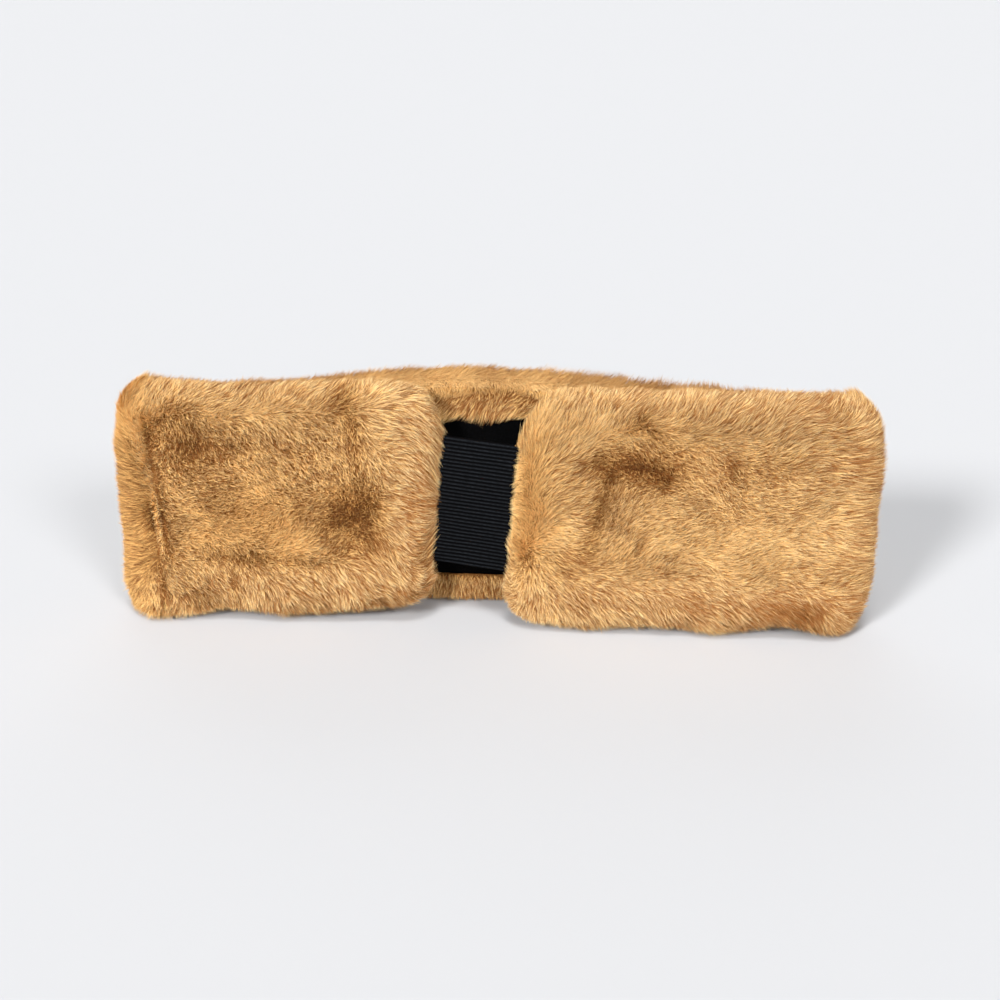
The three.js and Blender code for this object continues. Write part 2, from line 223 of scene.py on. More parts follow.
def place(along, outwards, z):
    """A point of the band, by its distances along and outwards and its height."""
    lean = END_LEAN * smoothstep(LEAN_REACH - to_end(along), 0, LEAN_REACH) * (z - LEAN_MIDDLE)
    along = along - lean
    inside = np.clip(along, 0, LENGTH)
    x, y = on_line(inside)
    way_x, way_y = on_line(inside, table=LINE_WAY)
    x = x + way_x * (along - inside) - way_y * outwards
    y = y + way_y * (along - inside) + way_x * outwards
    top = np.maximum(0, 1 - (FOLD_HEIGHT - z) / TOP_ZONE)
    bottom = np.maximum(0, 1 - z / np.where(x < 0, LEFT_ZONE, RIGHT_ZONE))
    draw = TOP_DRAW * top**3 + np.where(x < 0, LEFT_DRAW, RIGHT_DRAW) * bottom**2
    x = x - np.sign(x) * draw * smoothstep(np.abs(x), FOLD_START, FOLD_TIP)
    return np.stack([x, y, z], -1)


def dents_at(along, z):
    """How deep the outer face is dented on the elastic's side."""
    x, y = on_line(along)
    deep = np.zeros_like(x)
    for dent_x, dent_z, wide, tall, depth in DENTS:
        deep += depth * np.exp(-(((x - dent_x) / wide) ** 2) - ((z - dent_z) / tall) ** 4)
    return np.where(y < 0, deep, 0)


def relief_at(along, z):
    """The pile's rise, and its changes of tone and goldness, on the elastic's side; the tone changes are
    partly own tints and partly painted shade and light.
    """
    x, y = on_line(along)
    changes = np.zeros((3, len(x)))
    for at_x, at_z, wide, tall, turn, *change in RELIEF:
        turn = math.radians(turn)
        a = ((x - at_x) * math.cos(turn) + (z - at_z) * math.sin(turn)) / wide
        b = ((z - at_z) * math.cos(turn) - (x - at_x) * math.sin(turn)) / tall
        apart = a * a + b * b
        near = apart < RELIEF_LIMIT
        changes[:, near] += np.exp(-apart[near]) * np.array(change)[:, None]
    return changes * smoothstep(-y, *RELIEF_SIDE)


def band(along, round_, depth=0):
    """Points of the band at a place and a depth in the pile."""
    share, outwards, up = (np.interp(round_, OUTLINE_ROUND, OUTLINE[:, k]) for k in range(3))
    bottom, top = edges(along)
    z = bottom + share * (top - bottom) + up
    upper = z > (bottom + top) / 2
    edge = np.clip(1 - np.minimum(z - bottom, top - z) / EDGE_ZONE, 0, 1) ** 2
    thick = quarter_round(to_end(along) + END_BULGE, END_ROLL)
    outer = smoothstep(outwards, *OUTER_FACE)
    shape = relief_at(along, z)[0] - dents_at(along, z)
    outwards = thick * (outwards + outer * shape) * (1 - DEPTH_SHARE * depth)
    z = z + EDGE_INSET * depth * edge * np.where(upper, -1, 1)
    inset = END_INSET * depth * np.clip(1 - to_end(along) / END_ZONE, 0, 1) ** 2
    return place(along + inset * np.where(along < LENGTH / 2, 1, -1), outwards, z)


def out_at(along, round_):
    """Unit vectors out of the band's surface, and the area of a unit of it."""
    step = 0.8
    ahead = band(along + step, round_) - band(along - step, round_)
    up = band(along, round_ + step) - band(along, round_ - step)
    out = np.cross(up, ahead)
    return unit(out), np.linalg.norm(out, axis=-1) / (4 * step * step)


def grid(first, second):
    """Every pair of values, one from each."""
    return [values.ravel() for values in np.meshgrid(first, second, indexing="ij")]


def unit(vectors):
    """The same directions, with a length of 1."""
    return vectors / np.maximum(np.linalg.norm(vectors, axis=-1, keepdims=True), TINY)


# The frame's origin is the middle of the part's box, so the form is shifted to it.
FORM = band(*grid(np.linspace(0, LENGTH, 400), np.linspace(0, ROUND, 120)))
BOX_MIDDLE = sum(np.array(corner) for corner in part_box("fur_band")) / 2 / MM
SHIFT = BOX_MIDDLE - (FORM.min(0) + FORM.max(0)) / 2
SHIFT[2] = 0


# ---- Meshes ----

BAKE_MAP = "OFBake"  # it holds two numbers for each point, which its material reads


def new_object(name, data, material=None):
    """An object in the scene, of a mesh, a light or a camera."""
    made = bpy.data.objects.new(name, data)
    bpy.context.scene.collection.objects.link(made)
    if material:
        data.materials.append(material)
    return made


def new_piece(name, material, points, corners, sizes, uv=None):
    """A smooth piece from points in millimetres, its faces' corners in a row, and their sizes."""
    points = points + SHIFT
    points[:, 2] = np.maximum(points[:, 2], FLOOR_GAP)
    mesh = bpy.data.meshes.new(name)
    mesh.vertices.add(len(points))
    mesh.vertices.foreach_set("co", (points * MM).ravel())
    mesh.loops.add(len(corners))
    mesh.loops.foreach_set("vertex_index", corners.astype(np.int32))
    mesh.polygons.add(len(sizes))
    starts = np.concatenate([[0], np.cumsum(sizes)[:-1]])
    mesh.polygons.foreach_set("loop_start", starts.astype(np.int32))
    mesh.update(calc_edges=True)
    mesh.polygons.foreach_set("use_smooth", np.full(len(sizes), True))
    if uv is not None:
        layer = mesh.uv_layers.new(name=BAKE_MAP)
        layer.uv.foreach_set("vector", uv[corners].ravel())
    return new_object(name, mesh, material)


def there_and_back(values, back=None):
    """Values round a flat ring: along one side and back along the other."""
    return np.concatenate([values, (values if back is None else back)[::-1]])


def tube_faces(rings, size):
    """Corners and sizes of the faces between closed rings, with a cap at each end."""
    ring, k = grid(np.arange(rings - 1), np.arange(size))
    a, b = ring * size + k, ring * size + (k + 1) % size
    quads = np.stack([a, b, b + size, a + size], 1)
    half = np.arange(size // 2 - 1)
    strips = np.stack([half, size - 1 - half, size - 2 - half, half + 1], 1)
    last = (rings - 1) * size + strips[:, ::-1]
    quads = np.vstack([quads, strips, last])
    return quads.ravel(), np.full(len(quads), 4)


# ---- Materials ----

MIX_FACTOR, MIX_FIRST, MIX_SECOND, MIX_RESULT = 0, 6, 7, 2  # the sockets of a mix of two colours


def new_material(name):
    """A material, its nodes, a function that links them, and its shader."""
    material = bpy.data.materials.new(name)
    material.use_nodes = True
    nodes, links = material.node_tree.nodes, material.node_tree.links

    def link(source, output, target, socket):
        links.new(source.outputs[output], target.inputs[socket])

    return material, nodes, link, nodes["Principled BSDF"]


def set_inputs(node, values):
    """Sets a node's inputs, by name or number."""
    for socket, value in values.items():
        node.inputs[socket].default_value = value


def ramp(nodes, stops):
    """A colour ramp through (position, (red, green, blue)) stops."""
    node = nodes.new("ShaderNodeValToRGB")
    elements = node.color_ramp.elements
    while len(elements) < len(stops):
        elements.new(0.5)
    for element, (position, colour) in zip(elements, stops):
        element.position = position
        element.color = (*colour, 1)
    return node


def bake_place(nodes, link):
    """A node with the two numbers of a point's bake place, X and Y."""
    uv = nodes.new("ShaderNodeUVMap")
    uv.uv_map = BAKE_MAP
    split = nodes.new("ShaderNodeSeparateXYZ")
    link(uv, "UV", split, "Vector")
    return split


def noise_node(nodes, scale, detail):
    """Noise at a scale in millimetres."""
    noise = nodes.new("ShaderNodeTexNoise")
    set_inputs(noise, {"Scale": 1 / (scale * MM), "Detail": detail})
    return noise


def colour_mix(nodes, link, first, second):
    """A node that mixes the colours of two others."""
    mix = nodes.new("ShaderNodeMix")
    mix.data_type = "RGBA"
    link(first, "Color", mix, MIX_FIRST)
    link(second, "Color", mix, MIX_SECOND)
    return mix


def pile_material():
    """Camel pile: brown in its depth and pale at its tips, in two tones that each strand mixes.

    A strand's bake place says how: across is its tone, and up is the shade from root to tip."""
    material, nodes, link, shader = new_material("fur_pile")
    split = bake_place(nodes, link)
    dark = ramp(nodes, [(0, (0.07, 0.02, 0.004)), (0.55, (0.32, 0.105, 0.018)), (1, (0.54, 0.24, 0.067))])
    light = ramp(nodes, [(0, (0.6, 0.245, 0.05)), (0.5, (0.98, 0.62, 0.22)), (1, (1, 0.84, 0.48))])
    link(split, "Y", dark, "Fac")
    link(split, "Y", light, "Fac")
    mix = colour_mix(nodes, link, dark, light)
    link(split, "X", mix, MIX_FACTOR)
    link(mix, MIX_RESULT, shader, "Base Color")
    set_inputs(shader, {"Roughness": 0.62, "Specular IOR Level": 0.25})
    return material


def mottled_material(name, dark, light, scale, roughness, height):
    """A matt cloth whose colour and surface vary at a scale and to a height, in millimetres."""
    material, nodes, link, shader = new_material(name)
    place_ = nodes.new("ShaderNodeTexCoord")
    noise = noise_node(nodes, scale, 6)
    link(place_, "Object", noise, "Vector")
    colour = ramp(nodes, [(0.35, dark), (0.7, light)])
    link(noise, "Fac", colour, "Fac")
    link(colour, "Color", shader, "Base Color")
    relief = nodes.new("ShaderNodeBump")
    set_inputs(relief, {"Strength": 0.8, "Distance": height * MM})
    link(noise, "Fac", relief, "Height")
    link(relief, "Normal", shader, "Normal")
    set_inputs(shader, {"Roughness": roughness, "Specular IOR Level": 0.05})
    return material


# ---- The pile ----

# How the pile is combed: (x, z, angle, lay). The angle is in degrees up from +X, and lay is how far the
# strands lie over: at 0 they stand up and the depth between them shows.
COMB_BACK = [
    (-131, 86, 105, 1.2), (-133, 72, 130, 1.2), (-134, 55, 170, 1.2), (-133, 30, 200, 1.2),
    (-131, 12, -125, 1.55), (-122, 89, 72, 1.2), (-125, 72, 100, 0.7), (-126, 55, 165, 0.7),
    (-125, 30, 210, 0.7), (-121, 8, -90, 1.2), (-112, 90, 50, 1.2), (-97, 90, 35, 1.2),
    (-80, 90, 35, 1.2), (-60, 92, 45, 1.55), (-48, 93, 48, 1.55), (-35, 91, 35, 1.55),
    (-24, 88, 15, 1.55), (-112, 78, -55, 0.75), (-102, 77, -42, 0.75), (-113, 66, -75, 0.6),
    (-105, 68, -60, 0.5), (-92, 71, -40, 0.7), (-78, 79, -25, 0.95), (-70, 75, -42, 0.95),
    (-60, 74, -52, 0.7), (-57, 65, -55, 0.75), (-47, 68, -68, 0.95), (-41, 61, -55, 0.95),
    (-36, 76, -8, 1.55), (-27, 77, -3, 1.55), (-30, 65, -4, 1.55), (-24, 55, -6, 1.55),
    (-30, 46, -16, 1.55), (-28, 34, -30, 1.55), (-25, 22, -38, 1.55), (-40, 22, -42, 1.55),
    (-42, 12, -45, 1.55), (-60, 15, -48, 1.55), (-75, 14, -52, 1.55), (-90, 12, -60, 1.2),
    (-102, 14, -60, 1.2), (-112, 14, -48, 1.2), (-113, 26, -15, 0.75), (-111, 50, -8, 0.7),
    (-110, 40, -5, 0.7), (-96, 55, -15, 0.7), (-95, 44, -8, 0.65), (-84, 55, -35, 0.7),
    (-84, 44, 5, 0.65), (-90, 33, 18, 0.75), (-76, 30, 25, 0.7), (-68, 30, 18, 0.7),
    (-66, 55, -40, 0.65), (-65, 43, 35, 0.65), (-58, 34, 50, 0.65), (-50, 43, -45, 0.3),
    (-44, 50, -50, 0.3), (-96, 25, -30, 0.5), (-85, 24, -60, 0.65), (7, 80, 125, 1.2),
    (6, 62, 120, 1.2), (5, 48, 130, 1.1), (4, 38, 165, 1.0), (4, 27, 185, 1.0),
    (9, 13, -115, 1.55), (18, 8, -85, 1.55), (14, 78, 80, 1.2), (14, 62, 75, 1.2),
    (14, 50, 65, 1.1), (14, 40, 50, 1.0), (14, 31, 25, 0.8), (15, 21, -70, 1.2),
    (16, 90, 70, 1.2), (24, 84, 55, 1.55), (25, 74, 45, 1.55), (22, 62, 38, 1.55),
    (24, 52, 20, 1.55), (24, 42, 2, 1.2), (24, 32, -25, 1.2), (28, 22, -45, 1.2),
    (32, 60, 22, 0.95), (36, 88, 55, 1.55), (52, 89, 58, 1.55), (70, 89, 58, 1.55),
    (88, 87, 48, 1.55), (102, 87, 35, 1.55), (117, 90, 35, 1.55), (122, 82, 18, 1.55),
    (112, 76, 15, 1.55), (117, 66, 8, 1.2), (130, 70, 4, 1.55), (132, 48, 0, 1.55),
    (44, 67, -20, 0.6), (50, 64, -25, 0.6), (57, 75, -48, 0.95), (66, 78, 35, 0.7),
    (64, 66, -35, 0.75), (78, 68, -38, 0.95), (90, 74, 8, 0.95), (96, 66, 4, 0.7),
    (86, 54, -50, 0.65), (96, 52, 5, 0.75), (42, 54, 60, 0.65), (42, 42, 45, 0.65),
    (54, 50, 25, 0.75), (68, 50, 25, 0.75), (50, 34, 48, 0.95), (64, 34, 30, 0.95),
    (78, 34, 18, 0.95), (94, 38, 10, 0.95), (112, 40, 4, 1.2), (122, 26, 8, 1.2),
    (104, 26, 12, 0.95), (40, 24, 15, 0.95), (56, 22, -10, 0.95), (80, 22, -5, 0.95),
    (32, 12, -52, 1.55), (46, 12, -46, 1.55), (62, 12, -42, 1.55), (82, 12, -38, 1.55),
    (104, 12, -34, 1.55), (121, 10, -32, 1.55), (131, 20, -20, 1.2), (134, 32, -8, 1.2),
]
COMB_FRONT = [
    (-120, 80, 15, 1.17), (-120, 45, 5, 1.17), (-118, 12, -10, 1.17), (-85, 86, 28, 1.3),
    (-88, 62, 15, 1.04), (-85, 35, 0, 1.17), (-80, 10, -30, 1.17), (-45, 88, 28, 1.4),
    (-50, 60, 30, 1.17), (-42, 34, 12, 0.91), (-45, 10, -35, 1.17), (0, 90, 25, 1.4),
    (-8, 62, 35, 1.17), (4, 36, 15, 1.04), (0, 10, -40, 1.17), (42, 88, 30, 1.4),
    (38, 60, 45, 1.04), (46, 32, 10, 1.17), (40, 10, -50, 1.17), (85, 85, 100, 1.04),
    (84, 58, 90, 0.65), (88, 32, -90, 0.65), (84, 10, -100, 1.17), (120, 82, 150, 1.17),
    (120, 45, 182, 1.17), (118, 12, -160, 1.17),
]
# The folded-in hems, below the upper edge and above the lower one.
COMB_HEMS = [
    (-100, 87, -60, 0.96), (-55, 89, -25, 1.3), (-30, 90, -18, 1.3), (-5, 90, -15, 1.3),
    (25, 90, -18, 1.3), (-20, 84, -32, 1.15), (0, 84, -30, 1.15), (16, 84, -28, 1.15),
    (60, 87, -25, 1.3), (110, 85, -110, 0.96), (-60, 77, -70, 1.08), (-26, 77, -162, 1.5),
    (-14, 77, -158, 1.5), (-2, 77, -146, 1.5), (10, 77, -140, 1.5), (22, 77, -145, 1.5),
    (60, 77, -90, 1.08), (-100, 6, 60, 0.84), (-20, 6, -80, 0.96), (20, 6, -100, 0.96),
    (100, 6, 120, 0.84),
]
# Each table's face, and how far a row of it reaches.
COMBS = [(COMB_BACK, "back", 8.5), (COMB_FRONT, "front", 20), (COMB_HEMS, "hems", 8.5)]
DROOP = 0.3  # added to the way up, since strands seen from above seem to droop
GAP_MIDDLE = -5  # x between the band's two ends
FACE_START, FACE_SCALE, HEM_START = 3.5, 0.985, 3  # from heights on a face or hem to distances round
COMB_WAVES = [(9, 0.18), (22, 0.2)]  # unevenness of the combing: (scale, turn)
FARTHEST = 40  # the square of a row's distance, in reaches, where its share stops falling

# Zones of the band.
FACE_OVER, FACE_FADE = 2, 8  # the outer pile goes on past its edges, where the front's combing fades
FRONT_SIDE, ELASTIC_SIDE = (-4, 5), (-7, 1)  # y where the front's look fades in, -y where the other's does
END_FADE = 10  # the ends' own look fades out over this length
CALM_FOOT, CALM_CREASE = 20, 3  # the front's calm pile keeps so far from the foot and the crease
HEM_CREASE, CREASE_WIDTH, CREASE_WAVES = ROUND_HEAD + 12, 2.2, (23, 1.5)  # the upper hem's pile parts
FOOT_ZONE, CREST_ZONE = 5, 8  # how far the two edges' own looks reach
FRINGE = 4  # the fringe along the upper hem's edge
LEFT_FIELD_END, LEFT_FIELD_FADE = 110, 20  # along; up to there the strands differ more in tone

# How strands lie. Angles are in radians.
WISP, TUFT, LOCK = 0.36, 1, 4  # spacing of the centres that strands gather to
STRAND_LYING, STRAND_LENGTHS = 3.4, (0.7, 1.3)  # a lying strand's reach, and the least and most of it
STRAND_WIDTHS, STRAND_TWIST, STRAIGHT_WIDER = (0.15, 0.28), 0.5, 1.3
BENT_ROOT, STRAIGHT_ROOT = 0.7, 0.5  # depths of the roots
ROOT_BEHIND, TIP_AHEAD = 0.75, 0.25  # a strand's shares behind and ahead of its place
BEND_AT, BEND_DEPTH, BEND_SHARE = 0.3, 0.12, 0.6  # where it bends, how deep, and its share of the tip's rise
STRAY_WAY, STRAY_TIP = 0.18, 0.12  # how far single strands go their own way
LOCK_PULL, WISP_PULL = 0.08, 0.45  # how far tips gather to the centres
TUFT_PULL_BESIDE, TUFT_PULL_AHEAD = 0.12, 0.1
HOLLOW_UPRIGHT = 0.8  # strands in a hollow lie over less
STEEP, MOST_DRAWN_BACK = 0.2, 0.9  # past so much fall of the relief, tips draw back, up to so much
END_OVERHANG, LEAST_OVERHANG = 1.3, 0.3  # how far strands reach out past the band's ends

# How deep the tips sink in, by chance and by how far they are from their centres.
LEAST_SINK, TUFT_SINK, LOCK_SINK, WISP_SINK = 0.02, 0.2, 0.1, 0.1
BENT_SINK, STRAIGHT_SINK = 0.1, 0.32
# How far they stand out again, and how many hairs stand out more.
FLUFF, FLUFF_SPREAD, FLUFF_WAVES, FLUFF_CALM = 0.7, (-0.4, 0.5), (14, 0.4), 0.4
LOOSE_HAIRS, LOOSE_HEIGHTS = 0.05, (0.2, 1)

# How far the pile at the upper hem's edge hangs below it: (x, hang).
HEM_HANG = [(-20, 3), (-12, 2.2), (-5, 4.2), (1, 2.6), (6, 0.8), (12, 0.2), (40, 3)]
HANG_ZONE, HANG_SPREAD = 5, (0.6, 1.1)
# How far the pile spreads at the lower edge, more in a lobe and less at a corner: (x, half width).
SPLAY, SPLAY_LOBE, CORNER_CALM, LOBE, CORNER = 2.8, 3.5, 0.8, (-119, 8), (9, 10)
SPLAY_LEVEL = 40  # how far up the face its way out is taken from
# How far the pile stands above the upper edge: (x, on the elastic's side, on the front).
CROWN = [(-140, 0, 2), (10, 0, 2), (30, 0, 3.6), (60, 0.4, 3.8), (75, 1.3, 3.4), (110, 1.3, 2), (128, 0, 2)]
CROWN_SPREAD, CROWN_SIDE = (0.4, 1.2), (0, 4)  # the front's crown fades in at these y

# Tone goes from 0, dark, to 1, pale. First how much it differs from strand to strand.
USUAL_TONE, TONE_WAVES = 0.64, (30, 0.1)
TUFT_TONE, LOCK_TONE, WISP_TONE, OWN_TONE = 0.12, 0.24, 0.9, 0.22
USUAL_LAY, LYING_VARY, FRONT_VARY, HEM_VARY, LEFT_VARY = 0.7, 0.35, 0.2, 1.4, 0.25
# Then what darkens a strand, and what makes it paler: painted shade on sunk tips, in the crease and on the
# folded-in hems, tone painted lighter on upright strands and darker on flat ones, painted light on the front
# of the head, and the upper hem's pale fringe.
SINK_PAINTED_SHADE, LYING_PAINTED_LIGHT, CREASE_PAINTED_SHADE, LOWER_HEM_PAINTED_SHADE, UPPER_HEM_PAINTED_SHADE = 0.3, 0.17, 0.25, 0.2, 0.32
FRONT_PAINTED_LIGHT, FRINGE_PALE = 0.12, 0.35
# Goldness takes a strand's tip back towards the colours of its root.
ELASTIC_SIDE_GOLD, FRONT_GOLD, CREST_GOLD, HEM_GOLD, END_GOLD = 0.15, 0.35, 0.7, 0.6, 0.45
# how far goldness lowers a strand's shade; then painted shade: how far hollows, places darkened past
# DARK_FROM, and the crease lower it
GOLD_SHADE, HOLLOW_SHADE, DARK_SHADE, DARK_FROM, CREASE_SHADE = 0.4, 0.12, 0.5, -0.4, 0.15
SHADE_LIMITS, CALM_ROOT_PAINTED_LIGHT, CREST_ROOT_PAINTED_LIGHT = (0.2, 1.5), 0.5, 0.35  # in the last two zones the roots are painted paler, as painted light over the shade between strands


def rows_of(table, face):
    """Comb rows as places and ways on the surface: along, round, ahead, up, lay."""
    x, z, angle, lay = np.array(table, float).T
    line = np.stack([LINE[:, 0], LINE_ALONG], 1)
    stretches = np.split(line, [np.argmin(line[:, 0]), np.argmax(line[:, 0])])
    left, front, right = (np.interp(x, *part[np.argsort(part[:, 0])].T) for part in stretches)
    along = np.where(x < GAP_MIDDLE, left, right) if face == "back" else front
    angle = np.radians(angle)
    ahead, up = np.cos(angle), np.sin(angle)
    if face == "back":
        ahead = -ahead
    if face == "hems":
        upper = z > USUAL_HEIGHT / 2
        round_ = np.where(upper, ROUND_HEAD + HEM_START + USUAL_HEIGHT - z, ROUND_FOOT - HEM_START - z)
        return along, round_, ahead, -up, lay
    return along, ROUND_FOOT + FACE_START + FACE_SCALE * z, ahead, up, lay


def comb_way(along, round_):
    """The way the pile lies, ahead and up, and as long as it lies flat."""
    ahead, up, weight = (np.zeros_like(along) for _ in range(3))
    front = smoothstep(on_line(along)[1], *FRONT_SIDE)
    to_foot, to_head = round_ - ROUND_FOOT + FACE_OVER, ROUND_HEAD + FACE_OVER - round_
    front *= smoothstep(to_head, 0, FACE_FADE) * smoothstep(to_foot, 0, FACE_FADE)
    for table, face, reach in COMBS:
        for row_along, row_round, row_ahead, row_up, lay in zip(*rows_of(table, face)):
            apart = ((along - row_along) ** 2 + (round_ - row_round) ** 2) / reach**2
            share = np.exp(-np.minimum(apart, FARTHEST)) * (front if face == "front" else 1) + TINY
            ahead += share * row_ahead * lay
            up += share * (row_up * lay + (DROOP if face != "hems" else 0))
            weight += share
    ahead, up = ahead / weight, up / weight
    turn = sum(ripples(along, round_, scale, size) for scale, size in COMB_WAVES)
    return ahead * np.cos(turn) - up * np.sin(turn), ahead * np.sin(turn) + up * np.cos(turn)


def ripples(along, round_, scale, size):
    """Smooth random unevenness of about a scale and a size."""
    waves = np.random.default_rng(int(scale * 10)).uniform(-1, 1, (9, 3))
    total = np.zeros_like(along)
    for a, b, start in waves:
        total += np.sin((a * along + b * round_) * 2 * math.pi / scale + start * 7)
    return total * size / math.sqrt(len(waves))


def nearest_centre(along, round_, spacing):
    """The nearest scattered centre: its place, its distance and its own random value."""
    margin = 3  # cells past the surface's edges
    cells = (np.array([LENGTH, ROUND]) / spacing).astype(int) + 2 * margin + 2
    scatter = np.random.default_rng(int(spacing * 100)).uniform(0, 1, (*cells, 3))
    here = np.stack([along, round_], 1)
    cell = np.floor(here / spacing).astype(int)
    best, centre, value = np.full(len(here), np.inf), np.zeros_like(here), np.zeros(len(here))
    for step in zip(*grid([-1, 0, 1], [-1, 0, 1])):
        own = scatter[tuple(np.clip(cell + step + margin, 0, cells - 1).T)]
        at = (cell + step + own[:, :2]) * spacing
        apart = np.hypot(*(at - here).T)
        closer = apart < best
        best[closer] = apart[closer]
        centre[closer] = at[closer]
        value[closer] = own[closer, 2]
    return centre, best / spacing, value


def scatter_places(count, low, high):
    """Places spread evenly over the surface, from low (along, round) to high."""
    tries_each, common = 2.6, 0.98  # the largest areas count as no larger than this quantile
    tries = rng.uniform(low, high, (int(count * tries_each), 2))
    area = out_at(*tries.T)[1]
    limit = np.quantile(area, common)
    kept = tries[rng.uniform(0, limit, len(tries)) < area]
    return kept[:count].T


def zones_at(along, round_):
    """How far each place lies in each zone, as shares, and the relief's rise."""
    surface = band(along, round_)
    zone = SimpleNamespace()
    zone.outer = (round_ > ROUND_FOOT) & (round_ < ROUND_HEAD)
    zone.rise = relief_at(along, surface[:, 2])[0] * zone.outer
    zone.end = 1 - smoothstep(to_end(along), 0, END_FADE)
    zone.elastic_side = zone.outer * smoothstep(-surface[:, 1], *ELASTIC_SIDE)
    calm = (round_ > ROUND_FOOT + CALM_FOOT) & (round_ < HEM_CREASE - CALM_CREASE)
    zone.calm = (1 - zone.elastic_side) * calm
    zone.foot = bell(round_ - ROUND_FOOT, FOOT_ZONE, FOOT_ZONE)
    zone.crest = bell(round_, ROUND_HEAD, CREST_ZONE)
    return zone


def centres_near(along, round_):
    """The wisp, tuft and lock of each place, and their random tones."""
    near = SimpleNamespace()
    near.tuft, _, near.tuft_tone = nearest_centre(along, round_, TUFT)
    near.lock, near.lock_apart, near.lock_tone = nearest_centre(along, round_, LOCK)
    near.wisp, _, near.wisp_tone = nearest_centre(along, round_, WISP)
    return near


def lay_over(along, round_, zone, near):
    """Each strand's root and tip on the surface, how far it lies over, and how far beside its tuft."""
    here = np.stack([along, round_], 1)
    way = np.stack(comb_way(along, round_), 1)
    lying = np.linalg.norm(way, axis=1)
    to_tuft = near.tuft - here
    ahead = (to_tuft * unit(way)).sum(1, keepdims=True) * unit(way)
    beside = to_tuft - ahead
    stray = rng.normal(0, 1, here.shape)
    way = way * np.exp(HOLLOW_UPRIGHT * np.minimum(zone.rise, 0))[:, None]
    way = way + STRAY_WAY * stray + LOCK_PULL * (near.lock - here) / LOCK
    reach = STRAND_LYING * rng.uniform(*STRAND_LENGTHS, len(here))[:, None]
    root = here - ROOT_BEHIND * way * reach
    tip = here + TIP_AHEAD * way * reach + TUFT_PULL_BESIDE * beside + WISP_PULL * (near.wisp - here)
    tip = tip + TUFT_PULL_AHEAD * ahead + STRAY_TIP * stray
    past = zone.end * rng.uniform(0, 1, len(here)) * (LEAST_OVERHANG + near.wisp_tone) * END_OVERHANG
    tip[:, 0] += past * np.where(along < LENGTH / 2, -1, 1)
    fall = zone.rise - relief_at(tip[:, 0], band(*tip.T)[:, 2])[0] * zone.outer
    tip = tip + (here - tip) * np.clip(fall - STEEP, 0, MOST_DRAWN_BACK)[:, None]
    return root, tip, lying, np.linalg.norm(beside, axis=1) / TUFT


def heights(along, round_, zone, near, beside, bent):
    """How deep each tip lies, and how far it stands out of the surface."""
    count = len(along)
    sink = LEAST_SINK + TUFT_SINK * beside + LOCK_SINK * near.lock_apart
    sink += rng.uniform(0, BENT_SINK if bent else STRAIGHT_SINK, count)
    sink += WISP_SINK * (1 - near.wisp_tone)
    fluff = (FLUFF + rng.uniform(*FLUFF_SPREAD, count)) * (1 - FLUFF_CALM * zone.calm)
    fluff += ripples(along, round_, *FLUFF_WAVES)
    if bent:
        fluff += (rng.uniform(0, 1, count) > 1 - LOOSE_HAIRS) * rng.uniform(*LOOSE_HEIGHTS, count)
    return sink, fluff


def spread_edges(points, tip, round_, zone):
    """Moves the tips' points, which hang from the upper hem, splay out below and stand up above.

    Returns how far each is on the front of the head, as a share."""
    count = len(round_)
    x, y, z = points.T
    hang = np.interp(x, *np.array(HEM_HANG).T) * smoothstep(round_, ROUND - HANG_ZONE, ROUND)
    z -= hang * rng.uniform(*HANG_SPREAD, count)
    lobe, corner = (bell(x, *spot) * (y < 0) for spot in (LOBE, CORNER))
    splay = SPLAY * (1 - CORNER_CALM * corner) + SPLAY_LOBE * lobe
    outwards = out_at(tip[:, 0], 0 * round_ + ROUND_FOOT + SPLAY_LEVEL)[0]
    points += outwards * (splay * zone.foot)[:, None]
    behind = smoothstep(y, *CROWN_SIDE)
    crown_x, near_crown, far_crown = np.array(CROWN).T
    crown = (1 - behind) * np.interp(x, crown_x, near_crown) + behind * np.interp(x, crown_x, far_crown)
    z += crown * zone.crest * rng.uniform(*CROWN_SPREAD, count)
    return behind


def strand_faces(root, tip, tip_point, out, sink, fluff, bent):
    """The strands' points from the root on, the shade of each, and the faces' corners and sizes."""
    root_point = band(*root.T, BENT_ROOT if bent else STRAIGHT_ROOT)
    twist = rng.normal(0, STRAND_TWIST, len(root))[:, None]
    width = rng.uniform(*STRAND_WIDTHS, len(root))[:, None] / 2

    def side_of(run):
        side = unit(np.cross(run, out))
        return width * (side * np.cos(twist) + np.cross(run, side) * np.sin(twist))

    if not bent:
        side = side_of(unit(tip_point - root_point)) * STRAIGHT_WIDER
        return [root_point - side, root_point + side, tip_point], [0.1, 0.1, 1], [0, 1, 2], [3]
    bend = root + BEND_AT * (tip - root)
    bend_point = band(*bend.T, BEND_DEPTH + BEND_SHARE * sink) + out * (BEND_SHARE * fluff[:, None])
    middle = 0.25 * root_point + 0.5 * bend_point + 0.25 * tip_point
    side = side_of(unit(tip_point - middle))
    rows = [root_point - side, root_point + side, middle - side, middle + side, tip_point]
    return rows, [0, 0, 0.5, 0.5, 1], [0, 1, 3, 2, 2, 3, 4], [4, 3]


